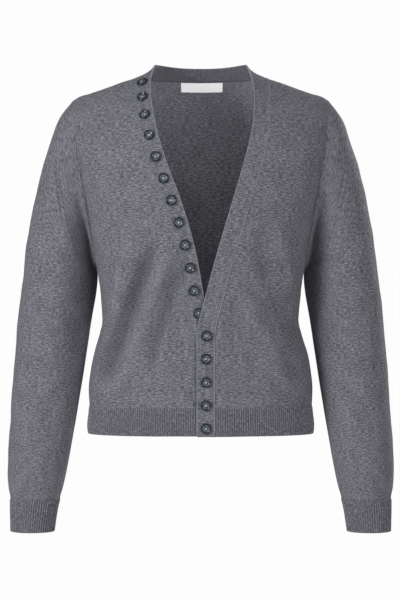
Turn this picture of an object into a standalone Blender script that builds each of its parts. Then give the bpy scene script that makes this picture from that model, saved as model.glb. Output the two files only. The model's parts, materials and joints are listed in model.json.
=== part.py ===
"""A knitted V-neck button cardigan, hollow, in the form it takes when it is worn.

Metres, +Z up, the front faces -Y, and the wearer's left is +X. The origin lies midway between
the neck ends of the two shoulder seams, where the wearer carries the garment.

All the panels are walls on one body surface. A point of it is named by its distance from the
centre line and by its drop below the shoulder line, so the top rows follow the shoulders and
the rows under the armpits are level. Each sleeve is a tube of rings that starts on the loop
where the panels end. Neighbouring pieces share the points of their seam and stop short of it.
"""

from collections import namedtuple

import bpy
import numpy as np

# Walls of the knitted pieces, and the slit between two pieces at a seam.
CLOTH = 0.0016
RIB = 0.0020
BAND = 0.0024
SEAM = 0.0003

# Heights down the body, each a drop below the middle of the shoulder line.
SHOULDER_Z = -0.030
ROUND_DROP = 0.110
ARMPIT_DROP = 0.262
RIB_DROP = 0.474
HEM_DROP = 0.5153
TOP_ROW_ANGLES = (0, 14, 28, 42, 56, 72, 90)
CHEST_ROWS = (0.140, 0.172, 0.204, 0.232, 0.250)
SKIRT_ROWS = 9

# Columns of each panel, and the neck that the back panel leaves open.
BAND_COLUMNS = 2
FRONT_COLUMNS = 7
NECK_COLUMNS = 10
NECK_X = 0.100
NECK_EDGE_X = 0.0685
NECK_LINE = -NECK_X * np.cos(np.linspace(0, np.pi, NECK_COLUMNS + 1))
NECK_Z = -0.0122
NECK_FADE = 0.120
NECK_RISE = 0.0072
NECK_SWELL = 0.0055
NECK_BACK = 0.059

# Steepest slope of a curve through a table, as a multiple of the flatter step beside a row, and
# the rounds in which a crossing of two curves settles.
STEEPEST = 2.5
SETTLING = 20

# A body section is |x/half|^PLAN + |y/depth|^PLAN = 1 about its side line.
PLAN = 2.4
Torso = namedtuple("Torso", "z half front back side")
TORSO = (
    Torso(-0.546, 0.1668, -0.0890, 0.0890, 0.000),
    Torso(-0.534, 0.1680, -0.0910, 0.0910, 0.000),
    Torso(-0.507, 0.1656, -0.0925, 0.0935, 0.000),
    Torso(-0.480, 0.1668, -0.0970, 0.0970, 0.000),
    Torso(-0.448, 0.1634, -0.0985, 0.0955, -0.001),
    Torso(-0.420, 0.1574, -0.0975, 0.0910, -0.002),
    Torso(-0.396, 0.1502, -0.0960, 0.0870, -0.003),
    Torso(-0.376, 0.1456, -0.0955, 0.0850, -0.004),
    Torso(-0.345, 0.1482, -0.0985, 0.0865, -0.006),
    Torso(-0.308, 0.1530, -0.1045, 0.0920, -0.008),
    Torso(-0.268, 0.1600, -0.1100, 0.1000, -0.008),
    Torso(-0.236, 0.1668, -0.1130, 0.1060, -0.006),
    Torso(-0.184, 0.1802, -0.1135, 0.1120, -0.004),
    Torso(-0.140, 0.1915, -0.1080, 0.1130, -0.002),
    Torso(-0.094, 0.2025, -0.1000, 0.1080, 0.000),
    Torso(-0.048, 0.2135, -0.0880, 0.1000, 0.000),
    Torso(0.020, 0.2250, -0.0740, 0.0880, 0.000),
)

# The line of the shoulders, carried on over the neck opening.
Ridge = namedtuple("Ridge", "x z")
RIDGE = (
    Ridge(0.0000, 0.0200),
    Ridge(0.0400, 0.0140),
    Ridge(0.0600, 0.0085),
    Ridge(0.0685, 0.0036),
    Ridge(0.0725, -0.0016),
    Ridge(0.0790, -0.0066),
    Ridge(0.0926, -0.0127),
    Ridge(0.1174, -0.0208),
    Ridge(0.1420, -0.0298),
    Ridge(0.1670, -0.0382),
    Ridge(0.1826, -0.0430),
    Ridge(0.1920, -0.0490),
    Ridge(0.2150, -0.0640),
)

Armhole = namedtuple("Armhole", "z x")
ARMHOLE = (
    Armhole(-0.292, 0.1555),
    Armhole(-0.280, 0.1570),
    Armhole(-0.262, 0.1594),
    Armhole(-0.236, 0.1634),
    Armhole(-0.210, 0.1670),
    Armhole(-0.184, 0.1712),
    Armhole(-0.140, 0.1794),
    Armhole(-0.094, 0.1862),
    Armhole(-0.048, 0.1914),
)

# Each front's free edge and band seam, out from the centre line to its own side.
Front = namedtuple("Front", "z edge seam")
FRONTS = {
    "left": (
        Front(-0.546, -0.0053, 0.0207),
        Front(-0.405, -0.0053, 0.0207),
        Front(-0.385, -0.0036, 0.0226),
        Front(-0.345, 0.0060, 0.0325),
        Front(-0.290, 0.0207, 0.0470),
        Front(-0.216, 0.0422, 0.0690),
        Front(-0.143, 0.0637, 0.0905),
        Front(-0.094, 0.0752, 0.0990),
        Front(-0.042, 0.0786, 0.1020),
        Front(-0.012, 0.0735, 0.1000),
        Front(0.004, 0.0685, 0.1000),
    ),
    "right": (
        Front(-0.546, -0.0205, 0.0057),
        Front(-0.430, -0.0205, 0.0057),
        Front(-0.400, -0.0165, 0.0095),
        Front(-0.370, -0.0107, 0.0150),
        Front(-0.339, -0.0041, 0.0212),
        Front(-0.279, 0.0068, 0.0321),
        Front(-0.211, 0.0259, 0.0518),
        Front(-0.143, 0.0506, 0.0775),
        Front(-0.094, 0.0650, 0.0905),
        Front(-0.050, 0.0722, 0.0975),
        Front(-0.025, 0.0740, 0.0985),
        Front(0.004, 0.0685, 0.1000),
    ),
}

# Where the fronts cross: how far each stands off the body surface near the centre line.
Lap = namedtuple("Lap", "z left right")
LAP = (
    Lap(-0.546, 0.0016, -0.0014),
    Lap(-0.405, 0.0016, -0.0014),
    Lap(-0.385, 0.0034, -0.0014),
    Lap(-0.366, 0.0058, -0.0014),
    Lap(-0.335, 0.0036, -0.0012),
    Lap(-0.290, 0.0000, 0.0000),
    Lap(0.005, 0.0000, 0.0000),
)
LAP_INNER = 0.030
LAP_OUTER = 0.075

# The largest folds of the fronts: soft ridges and, where lift is negative, troughs.
Fold = namedtuple("Fold", "side x_top z_top x_low z_low width lift")
FOLDS = (
    Fold("right", 0.083, -0.268, 0.122, -0.382, 0.0085, -0.0042),
    Fold("right", 0.070, -0.285, 0.108, -0.385, 0.0090, 0.0034),
    Fold("right", 0.052, -0.285, 0.085, -0.372, 0.0090, -0.0032),
    Fold("right", 0.078, -0.415, 0.106, -0.468, 0.0100, -0.0028),
    Fold("left", 0.120, -0.335, 0.140, -0.385, 0.0100, -0.0034),
    Fold("left", 0.070, -0.355, 0.118, -0.420, 0.0120, 0.0022),
)

# Rings of a sleeve: outer and inner edge seen from the front, half depth and middle.
Ring = namedtuple("Ring", "ring outer_x outer_z inner_x inner_z depth middle")
SLEEVE = (
    Ring(0, 0.1914, -0.0490, 0.1556, -0.2920, 0.050, 0.000),
    Ring(1, 0.2122, -0.0775, 0.1570, -0.2940, 0.056, 0.004),
    Ring(2, 0.2330, -0.1345, 0.1574, -0.2965, 0.059, 0.008),
    Ring(3, 0.2488, -0.1970, 0.1566, -0.3010, 0.060, 0.010),
    Ring(4, 0.2585, -0.2480, 0.1560, -0.3110, 0.060, 0.012),
    Ring(5, 0.2655, -0.3030, 0.1578, -0.3330, 0.058, 0.012),
    Ring(6, 0.2738, -0.3730, 0.1656, -0.3800, 0.055, 0.010),
    Ring(7, 0.2795, -0.4500, 0.1760, -0.4500, 0.052, 0.005),
    Ring(8, 0.2842, -0.5200, 0.1868, -0.5180, 0.048, 0.000),
    Ring(9, 0.2876, -0.5900, 0.1986, -0.5880, 0.043, -0.010),
    Ring(10, 0.2858, -0.6230, 0.2052, -0.6210, 0.038, -0.016),
    Ring(11, 0.2826, -0.6410, 0.2104, -0.6395, 0.034, -0.019),
    Ring(12, 0.2820, -0.6610, 0.2150, -0.6600, 0.032, -0.022),
    Ring(13, 0.2810, -0.6896, 0.2192, -0.6896, 0.031, -0.026),
)
SLEEVE_RINGS = (0, 0.4, 1, 1.6, 2.3, *np.arange(3, 10.5, 0.5), 11)
CUFF_RINGS = (11, 11.5, 12, 13)
CAP_RINGS = 4.0
HINGE_FADE = (1, 0.7, 0.3)

# Buttons, evenly spaced along the middle of the band, and their turned profile.
BUTTON_COUNT = 17
OPEN_BUTTONS = 12
BUTTON_TOP_Z = -0.0262
BUTTON_LOW_Z = -0.533
BUTTON_SIDES = 14
BUTTON_REACH = 0.0085
Turn = namedtuple("Turn", "radius height")
BUTTON_PROFILE = (
    Turn(0.0066, 0.0000),
    Turn(0.0080, 0.0012),
    Turn(0.0072, 0.0032),
    Turn(0.0050, 0.0024),
)

LABEL_WIDTH = 0.064
LABEL_X = 0.0017
LABEL_DROPS = (0.0006, 0.0128)
LABEL_WALL = 0.0010

WOOL = (0.105, 0.103, 0.112)
BUTTON_GLAZE = (0.020, 0.030, 0.038)
LABEL_WHITE = (0.800, 0.800, 0.790)


def read(table, column, at):
    """The column of a table at any value of its first column, on a smooth curve through the rows.

    The curve's slopes are held back so that it never swings past the values of the rows."""
    key = np.array([row[0] for row in table])
    value = np.array([getattr(row, column) for row in table])
    steps = np.diff(value) / np.diff(key)
    before, after = np.append(steps[0], steps), np.append(steps, steps[-1])
    most = STEEPEST * np.minimum(np.abs(before), np.abs(after)) * (before * after > 0)
    slope = np.clip(np.gradient(value, key), -most, most)
    at = np.clip(at, key[0], key[-1])
    i = np.clip(np.searchsorted(key, at, side="right") - 1, 0, len(key) - 2)
    span = key[i + 1] - key[i]
    t = (at - key[i]) / span
    start = (1 + 2 * t) * (1 - t) ** 2 * value[i] + t * (1 - t) ** 2 * span * slope[i]
    end = t * t * (3 - 2 * t) * value[i + 1] + t * t * (t - 1) * span * slope[i + 1]
    return start + end


def ease(t):
    """0 to 1 with level ends."""
    t = np.clip(t, 0, 1)
    return t * t * (3 - 2 * t)


def unit(vectors):
    return vectors / np.linalg.norm(vectors, axis=-1, keepdims=True)


def body_z(x, drop):
    """Height of the body surface. Rows follow the shoulders at the top and are level by the armpit."""
    follow = 1 - ease(drop / ARMPIT_DROP)
    return SHOULDER_Z - drop + follow * (read(RIDGE, "z", np.abs(x)) - SHOULDER_Z)


def body_y(x, z, face):
    """Depth of the body surface on its front or back face, rounded over at the shoulder line."""
    side = read(TORSO, "side", z)
    across = np.minimum(np.abs(x) / read(TORSO, "half", z), 1)
    under = np.clip((read(RIDGE, "z", np.abs(x)) - z) / ROUND_DROP, 0, 1)
    rounded = (1 - across**PLAN) ** (1 / PLAN) * np.sqrt(1 - (1 - under) ** 2)
    return side + (read(TORSO, face, z) - side) * rounded


def on_body(x, drop, face):
    z = body_z(x, drop)
    return np.stack([x, body_y(x, z, face), z], axis=-1)


def meet(drop, line):
    """x where a row crosses a line that is given as x for each height."""
    x = NECK_X
    for _ in range(SETTLING):
        x = line(body_z(x, drop))
    return x


def row_end(drop):
    """x where a row ends, at the side seam or, above the armpit, at the armhole."""
    if drop >= ARMPIT_DROP:
        return float(read(TORSO, "half", SHOULDER_Z - drop))
    return float(meet(drop, lambda z: read(ARMHOLE, "x", z)))


def spread(inner, outer, half, columns):
    """x of the columns from inner to outer, closer together where the section turns to the side."""
    ends = np.array([inner, outer]) / half
    angle = np.arcsin(np.sign(ends) * np.minimum(np.abs(ends), 1) ** (PLAN / 2))
    sine = np.sin(np.linspace(*angle, columns + 1))
    return half * np.sign(sine) * np.abs(sine) ** (2 / PLAN)


def row_drops():
    """Drops of the rows from the shoulder line to the bottom of the hem rib."""
    top = ROUND_DROP * (1 - np.cos(np.radians(TOP_ROW_ANGLES)))
    skirt = np.linspace(ARMPIT_DROP, RIB_DROP, SKIRT_ROWS + 1)
    rib = np.linspace(RIB_DROP, HEM_DROP, 3)[1:]
    return np.concatenate([top, CHEST_ROWS, skirt, rib])


DROPS = row_drops()
ARMPIT_ROW = len(TOP_ROW_ANGLES) + len(CHEST_ROWS)
RIB_ROW = ARMPIT_ROW + SKIRT_ROWS
NECK_SPAN = slice(FRONT_COLUMNS, FRONT_COLUMNS + NECK_COLUMNS + 1)
FINE_ROWS = np.arange(0, len(DROPS) - 1, 0.1)
FINE_COLUMNS = np.linspace(0, BAND_COLUMNS, 17)


def grid_normals(points, ring=False):
    """Unit normals of a grid of points, by rows and columns, pointing away from its own middle line."""
    down = np.gradient(points, axis=0)
    if ring:
        over = np.roll(points, -1, axis=1) - np.roll(points, 1, axis=1)
    else:
        over = np.gradient(points, axis=1)
    normals = unit(np.cross(down, over))
    middle = points.mean(axis=1, keepdims=True) if ring else points * (0, 0, 1)
    return normals if ((points - middle) * normals).sum() > 0 else -normals


def fold_lift(side, x, z):
    """Height of the folds at points of a front: bumps along each fold's line, faded at its ends."""
    lift = np.zeros_like(x)
    for fold in FOLDS:
        if fold.side != side:
            continue
        start = np.array([fold.x_top, fold.z_top])
        line = np.array([fold.x_low, fold.z_low]) - start
        place = np.stack([x, z], axis=-1) - start
        along = place @ line / (line @ line)
        off = np.abs(place @ np.array([line[1], -line[0]])) / np.linalg.norm(line)
        ends = ease((along + 0.25) / 0.5) * ease((1.25 - along) / 0.5)
        lift += fold.lift * ends * np.exp(-((off / fold.width) ** 2))
    return lift


def front_grid(side):
    """Points of one front out to its own side: the band's columns first, then the panel's."""
    rows = []
    for drop in DROPS:
        edge = meet(drop, lambda z: read(FRONTS[side], "edge", z)) if drop else NECK_EDGE_X
        seam = meet(drop, lambda z: read(FRONTS[side], "seam", z)) if drop else NECK_X
        half = float(read(TORSO, "half", SHOULDER_Z - drop))
        band = np.linspace(edge, seam, BAND_COLUMNS + 1)[:-1]
        panel = spread(seam, row_end(drop), half, FRONT_COLUMNS)
        rows.append(on_body(np.concatenate([band, panel]), drop, "front"))
    points = np.array(rows)
    x, z = points[..., 0], points[..., 2]
    near = 1 - ease((np.abs(x) - LAP_INNER) / (LAP_OUTER - LAP_INNER))
    lift = near * read(LAP, side, z) + fold_lift(side, x, z)
    points += grid_normals(points) * lift[..., None]
    return points


def neck_drop(x):
    """Drop of the back neck seam, which is level behind the neck and meets the shoulder line."""
    drop = np.zeros_like(x)
    for _ in range(SETTLING):
        drop = np.maximum(drop + body_z(x, drop) - NECK_Z, 0)
    return np.where(np.abs(x) < NECK_X, drop, 0)


def back_grid():
    """Points of the back, from the wearer's right side to the left."""
    rows = []
    for drop in DROPS:
        half = float(read(TORSO, "half", SHOULDER_Z - drop))
        flank = spread(NECK_X, row_end(drop), half, FRONT_COLUMNS)[1:]
        x = np.concatenate([-flank[::-1], NECK_LINE, flank])
        rows.append(on_body(x, drop + neck_drop(x) * (1 - ease(drop / NECK_FADE)), "back"))
    return np.array(rows)


def neck_grid(back_top, band_top):
    """Points of the back neck band: rows go round the neck, columns from its free edge to its seam."""
    seam = back_top[NECK_SPAN]
    turn = np.arccos(np.clip(-seam[:, 0] / NECK_X, -1, 1))
    round_back = np.sin(turn)[:, None]
    start = band_top[0]
    swell = NECK_SWELL * np.abs(np.cos(turn[:, None])) ** 3
    lift = (NECK_RISE - start[2] + swell) * np.sqrt(round_back)
    edge = np.stack(
        [-start[0] * np.cos(turn), NECK_BACK * round_back[:, 0], start[2] + lift[:, 0]], axis=-1
    )
    middle_bend = band_top[1] - (band_top[0] + band_top[2]) / 2
    bend = np.where(seam[:, :1] < 0, middle_bend * (-1, 1, 1), middle_bend)
    middle = (edge + seam) / 2 + bend * (1 - round_back**2)
    return np.stack([edge, middle, seam], axis=1)


def mirrored(points):
    return points * (-1, 1, 1)


def sleeve_grid(loop, loop_normals, rings):
    """Points of a tube on the wearer's left whose first rings blend out of the armhole loop."""
    count = len(loop)
    even = 2 * np.pi * np.arange(count) / count
    top, low = loop[count // 2], loop[0]
    axis = (top - low) / 2
    along = np.clip((loop - (top + low) / 2) @ axis / (axis @ axis), -1, 1)
    turn = np.arccos(-along)
    turn[count // 2 :] = 2 * np.pi - turn[count // 2 :]
    turn[count // 2] = np.pi

    def ellipse(ring, angle):
        outer = np.array([read(SLEEVE, "outer_x", ring), 0, read(SLEEVE, "outer_z", ring)])
        inner = np.array([read(SLEEVE, "inner_x", ring), 0, read(SLEEVE, "inner_z", ring)])
        middle = (outer + inner) / 2 + (0, read(SLEEVE, "middle", ring), 0)
        depth = np.array([0, -read(SLEEVE, "depth", ring), 0])
        return middle - np.cos(angle)[:, None] * (outer - inner) / 2 + np.sin(angle)[:, None] * depth

    rows = []
    for ring in rings:
        fade = 1 - ease(ring / CAP_RINGS)
        angle = even + (turn - even) * fade
        rows.append(ellipse(ring, angle) + fade * (loop - ellipse(0, turn)))
    points = np.array(rows)
    if rings[0] == 0:
        points += hinge(points, loop_normals)
    return points


def hinge(points, loop_normals):
    """Shift of the first rings that sets the sleeve's wall corner to corner with the panels' wall."""
    leave = unit(points[1] - points[0])
    own = grid_normals(points, ring=True)[0]
    outward = np.sign((leave * loop_normals).sum(axis=1, keepdims=True))
    folded = (1 - (own * loop_normals).sum(axis=1, keepdims=True)) / 2
    corner = outward * (loop_normals - own) * CLOTH / 2
    shift = corner + SEAM * (leave + outward * folded * loop_normals)
    fade = np.zeros(len(points))
    fade[: len(HINGE_FADE)] = HINGE_FADE
    return fade[:, None, None] * shift


def armhole_loop(front, back, front_normals, back_normals):
    """The loop of panel ends round an armhole, up its front from the armpit and down its back."""
    rise = slice(ARMPIT_ROW, 0, -1)
    fall = slice(0, ARMPIT_ROW)
    points = np.concatenate([front[rise], back[fall]])
    normals = np.concatenate([front_normals[rise], back_normals[fall]])
    return points, normals


def share(*borders):
    """Gives borders of normals that meet at a seam the same, mean, normals."""
    mean = unit(sum(borders))
    for border in borders:
        border[...] = mean


def trimmed(points, sides):
    """The grid with the named sides drawn back from their seam by half its slit."""
    points = points.copy()
    turned = points.swapaxes(0, 1)
    borders = {
        "top": (points, 0, 1),
        "low": (points, -1, -2),
        "start": (turned, 0, 1),
        "end": (turned, -1, -2),
    }
    for side in sides:
        grid, border, inside = borders[side]
        grid[border] += unit(grid[inside] - grid[border]) * SEAM / 2
    return points


def rim_faces(line, under, key):
    """Triangles that close a wall along a border. Neighbours at a seam split it the same way."""
    faces = []
    for a, b in zip(line, line[1:]):
        if key[a] < key[b]:
            faces += [(a, b, b + under), (a, b + under, a + under)]
        else:
            faces += [(a, b, a + under), (b, b + under, a + under)]
    return faces


def wall_mesh(name, points, normals, thickness, ring=False):
    """A closed mesh: the grid moved half the wall each way, with strips along its borders."""
    rows, columns = points.shape[:2]
    index = np.arange(rows * columns).reshape(rows, columns)
    if ring:
        index = np.concatenate([index, index[:, :1]], axis=1)
    under = rows * columns
    key = (np.abs(points[..., 0]) + points[..., 2] / 2).reshape(-1)
    faces = []
    for upper, lower in zip(index, index[1:]):
        for a, b, c, d in zip(upper, upper[1:], lower[1:], lower):
            faces += [(a, b, c, d), (d + under, c + under, b + under, a + under)]
    faces += rim_faces(index[0, ::-1], under, key) + rim_faces(index[-1], under, key)
    if not ring:
        faces += rim_faces(index[:, 0], under, key) + rim_faces(index[::-1, -1], under, key)
    lift = normals * thickness / 2
    shell = np.concatenate([(points + lift).reshape(-1, 3), (points - lift).reshape(-1, 3)])
    corners = shell[[(*face, face[-1])[:4] for face in faces]]
    areas = np.cross(corners[:, 2] - corners[:, 0], corners[:, 3] - corners[:, 1])
    if (corners.mean(axis=1) * areas).sum() < 0:
        faces = [face[::-1] for face in faces]
    mesh = bpy.data.meshes.new(name)
    mesh.from_pydata(shell.tolist(), [], [[int(corner) for corner in face] for face in faces])
    return mesh


def finish(name, colour, roughness):
    material = bpy.data.materials.new(name)
    material.use_nodes = True
    shader = material.node_tree.nodes["Principled BSDF"]
    shader.inputs["Base Color"].default_value = (*colour, 1)
    shader.inputs["Roughness"].default_value = roughness
    return material


def place(name, mesh, material):
    piece = bpy.data.objects.new(name, mesh)
    mesh.materials.append(material)
    mesh.shade_smooth()
    mesh.set_sharp_from_angle(angle=np.radians(50))
    bpy.context.scene.collection.objects.link(piece)
    return piece


def cloth(name, points, normals, thickness, sides, ring=False):
    mesh = wall_mesh(name, trimmed(points, sides), normals, thickness, ring)
    return place(name, mesh, finish(name, WOOL, 0.95))


def make_front(side, points, normals):
    """The panel, hem rib and band of one front, cut from its grid."""
    seam = BAND_COLUMNS
    panel = (slice(None, RIB_ROW + 1), slice(seam, None))
    rib = (slice(RIB_ROW, None), slice(seam, None))
    band = (slice(None), slice(None, seam + 1))
    cloth(f"front_{side}", points[panel], normals[panel], CLOTH, ("top", "low", "start", "end"))
    cloth(f"hem_{side}", points[rib], normals[rib], RIB, ("top", "start", "end"))
    cloth(f"band_{side}", points[band], normals[band], BAND, ("top", "end"))


def make_back(points, normals):
    cloth("back", points[: RIB_ROW + 1], normals[: RIB_ROW + 1], CLOTH, ("top", "low", "start", "end"))
    cloth("hem_back", points[RIB_ROW:], normals[RIB_ROW:], RIB, ("top", "start", "end"))


def make_sleeve(side, loop, loop_normals):
    turn = mirrored if side == "right" else np.array
    loop, loop_normals = turn(loop), turn(loop_normals)
    rings = SLEEVE_RINGS + CUFF_RINGS[1:]
    points = sleeve_grid(loop, loop_normals, rings)
    normals = grid_normals(points, ring=True)
    seam = len(SLEEVE_RINGS) - 1
    for name, part, thickness, sides in (
        (f"sleeve_{side}", slice(None, seam + 1), CLOTH, ("low",)),
        (f"cuff_{side}", slice(seam, None), RIB, ("top",)),
    ):
        cloth(name, turn(points[part]), turn(normals[part]), thickness, sides, ring=True)


def on_facets(grid, row, column):
    """A point between the points of a grid, at a fractional row and column."""
    i, j = min(int(row), len(grid) - 2), min(int(column), grid.shape[1] - 2)
    u, v = row - i, column - j
    upper = grid[i, j] * (1 - v) + grid[i, j + 1] * v
    return upper * (1 - u) + (grid[i + 1, j] * (1 - v) + grid[i + 1, j + 1] * v) * u


def at_height(grid, height):
    """The point halfway across the band part of a grid at a height."""
    line = grid[::-1, BAND_COLUMNS // 2]
    return np.array([np.interp(height, line[:, 2], line[:, axis]) for axis in range(3)])


def seat_of(grid, height):
    """Seat and facing of a button: it rests on the highest of the facets that it covers."""
    centre = at_height(grid, height)
    band = grid[:, : BAND_COLUMNS + 1]
    fine = np.array([on_facets(band, row, over) for row in FINE_ROWS for over in FINE_COLUMNS])
    under = fine[np.linalg.norm(fine - centre, axis=1) < BUTTON_REACH]
    facing = np.linalg.svd(under - under.mean(axis=0))[2][2]
    facing = facing if facing[1] < 0 else -facing
    rise = ((under - centre) @ facing).max()
    return centre + facing * (rise + BAND / 2 + SEAM), facing


def button_line(grids):
    """Seats of the buttons, at even steps along the middle line of the under band."""
    fine_z = np.linspace(BUTTON_LOW_Z, BUTTON_TOP_Z, 400)
    path = np.array([at_height(grids["right"], height) for height in fine_z])
    length = np.concatenate([[0], np.cumsum(np.linalg.norm(np.diff(path, axis=0), axis=1))])
    heights = np.interp(np.linspace(length[-1], 0, BUTTON_COUNT), length, fine_z)
    sides = ["right"] * OPEN_BUTTONS + ["left"] * (BUTTON_COUNT - OPEN_BUTTONS)
    return [seat_of(grids[side], height) for side, height in zip(sides, heights)]


def button_mesh(name, seat, facing):
    """A turned button with a raised rim round a dished face, its back on the seat."""
    sideways = unit(np.cross(facing, (0, 0, 1)))
    upward = np.cross(sideways, facing)
    angle = 2 * np.pi * np.arange(BUTTON_SIDES) / BUTTON_SIDES
    around = np.cos(angle)[:, None] * sideways + np.sin(angle)[:, None] * upward
    points = [seat + turn.radius * around + turn.height * facing for turn in BUTTON_PROFILE]
    faces = []
    for ring in range(len(BUTTON_PROFILE) - 1):
        for i in range(BUTTON_SIDES):
            a, b = ring * BUTTON_SIDES + i, ring * BUTTON_SIDES + (i + 1) % BUTTON_SIDES
            faces.append((a + BUTTON_SIDES, b + BUTTON_SIDES, b, a))
    last = (len(BUTTON_PROFILE) - 1) * BUTTON_SIDES
    faces.append(tuple(range(BUTTON_SIDES)))
    faces.append(tuple(range(last + BUTTON_SIDES - 1, last - 1, -1)))
    mesh = bpy.data.meshes.new(name)
    mesh.from_pydata(np.concatenate(points).tolist(), [], faces)
    return mesh


def make_buttons(grids):
    glaze = finish("button", BUTTON_GLAZE, 0.25)
    for number, (seat, facing) in enumerate(button_line(grids), start=1):
        name = f"button_{number:02d}"
        place(name, button_mesh(name, seat, facing), glaze)


def make_label(back, back_normals):
    """A blank woven tab on the inside of the back, just under the neck seam, on the panel's facets."""
    ends = LABEL_X + np.array([-LABEL_WIDTH, LABEL_WIDTH]) / 2
    between = (NECK_LINE > ends[0]) & (NECK_LINE < ends[1])
    x = np.concatenate([ends[:1], NECK_LINE[between], ends[1:]])
    inside = DROPS[(DROPS > LABEL_DROPS[0]) & (DROPS < LABEL_DROPS[1])]
    drops = np.concatenate([LABEL_DROPS[:1], inside, LABEL_DROPS[1:]])

    def patch(grid):
        lines = np.apply_along_axis(lambda line: np.interp(drops, DROPS, line), 0, grid[:, NECK_SPAN])
        return np.apply_along_axis(lambda line: np.interp(x, NECK_LINE, line), 1, lines)

    normals = unit(patch(back_normals))
    points = patch(back) - normals * (CLOTH / 2 + 2 * SEAM + LABEL_WALL / 2)
    mesh = wall_mesh("label", points, normals, LABEL_WALL)
    place("label", mesh, finish("label", LABEL_WHITE, 0.8))


def main():
    for old in list(bpy.data.objects):
        bpy.data.objects.remove(old, do_unlink=True)
    grids = {"left": front_grid("left"), "right": mirrored(front_grid("right"))}
    normals = {side: grid_normals(grid) for side, grid in grids.items()}
    back = back_grid()
    back_normals = grid_normals(back)
    neck = neck_grid(back[0], grids["left"][0])
    neck_normals = grid_normals(neck)

    flanks = {
        "left": (back[:, -1 - FRONT_COLUMNS :], back_normals[:, -1 - FRONT_COLUMNS :]),
        "right": (back[:, FRONT_COLUMNS::-1], back_normals[:, FRONT_COLUMNS::-1]),
    }
    neck_ends = {"left": neck_normals[-1], "right": neck_normals[0]}
    for side, (_, flank_normals) in flanks.items():
        own = normals[side]
        share(own[ARMPIT_ROW:, -1], flank_normals[ARMPIT_ROW:, -1])
        share(own[0, BAND_COLUMNS:], flank_normals[0])
        share(own[0, : BAND_COLUMNS + 1], neck_ends[side])
    share(neck_normals[:, -1], back_normals[0, NECK_SPAN])
    for side, (_, flank_normals) in flanks.items():
        share(normals[side][0, BAND_COLUMNS], flank_normals[0, 0], neck_ends[side][-1])

    for side, (flank, flank_normals) in flanks.items():
        make_front(side, grids[side], normals[side])
        loop, loop_normals = armhole_loop(
            grids[side][:, -1], flank[:, -1], normals[side][:, -1], flank_normals[:, -1]
        )
        make_sleeve(side, loop, loop_normals)
    make_back(back, back_normals)
    cloth("neck_band", neck, neck_normals, BAND, ("top", "low", "end"))
    make_label(back, back_normals)
    make_buttons(grids)


main()
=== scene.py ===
"""Looks of a knitted V-neck button cardigan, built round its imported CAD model.

Metres, +Z up, the front faces -Y, the wearer's left is +X, and the origin lies midway between the
neck ends of the shoulder seams. The shape tables are those of the CAD model, which scene.py can't
read, so every piece lies where its solid does. Here the grids are finer, and creases, ribs, rolled
edges and seams are moves of their points along the surface normal.
"""

import json
from collections import namedtuple

import bpy
import numpy as np
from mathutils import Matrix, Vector

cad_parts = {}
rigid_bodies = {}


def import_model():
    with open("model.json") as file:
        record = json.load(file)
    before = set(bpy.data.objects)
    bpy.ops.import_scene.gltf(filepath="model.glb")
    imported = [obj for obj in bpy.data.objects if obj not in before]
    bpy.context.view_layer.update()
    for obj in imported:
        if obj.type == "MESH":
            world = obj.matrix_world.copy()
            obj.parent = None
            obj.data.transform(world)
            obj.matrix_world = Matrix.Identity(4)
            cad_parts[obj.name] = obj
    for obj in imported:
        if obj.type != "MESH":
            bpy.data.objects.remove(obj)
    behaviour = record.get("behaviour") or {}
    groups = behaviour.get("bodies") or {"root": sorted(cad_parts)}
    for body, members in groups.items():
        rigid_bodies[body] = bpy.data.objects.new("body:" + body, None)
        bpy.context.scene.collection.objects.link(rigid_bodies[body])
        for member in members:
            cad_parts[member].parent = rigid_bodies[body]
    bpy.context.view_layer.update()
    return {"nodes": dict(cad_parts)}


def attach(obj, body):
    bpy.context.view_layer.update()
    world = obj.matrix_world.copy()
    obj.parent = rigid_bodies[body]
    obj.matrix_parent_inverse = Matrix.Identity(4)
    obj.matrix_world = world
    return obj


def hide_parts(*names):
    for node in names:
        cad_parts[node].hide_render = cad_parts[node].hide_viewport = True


def table(columns, *rows):
    """Rows of a table with named columns."""
    row_kind = namedtuple("Row", columns)
    return tuple(row_kind(*row) for row in rows)


# Walls of the knitted pieces.
CLOTH = 0.0016
RIB = 0.0020
BAND = 0.0024
SEAM = 0.0003

# Heights down the body, each a drop below the middle of the shoulder line.
SHOULDER_Z = -0.030
ROUND_DROP = 0.110
ARMPIT_DROP = 0.262
RIB_DROP = 0.474
HEM_DROP = 0.5153

# Rows and columns of the fine grids.
TOP_ROWS = 60
CHEST_ROWS = 50
SKIRT_ROWS = 72
HEM_ROWS = 24
FRONT_COLUMNS = 62
BAND_COLUMNS = 26
NECK_COLUMNS = 90
RING_STEP = 0.058

# The neck: where the shoulder seams end, where the bands' free edges meet the neck band, the level
# of the back seam and how far down it is felt, and the neck band's rise, swell and place.
NECK_X = 0.100
NECK_EDGE_X = 0.0685
NECK_Z = -0.0122
NECK_FADE = 0.120
NECK_RISE = 0.0072
NECK_SWELL = 0.0055
NECK_BACK = 0.059

# How steep a table's curve may be beside its flatter step, and the rounds that settle a crossing.
STEEPEST = 2.5
SETTLING = 20

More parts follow.
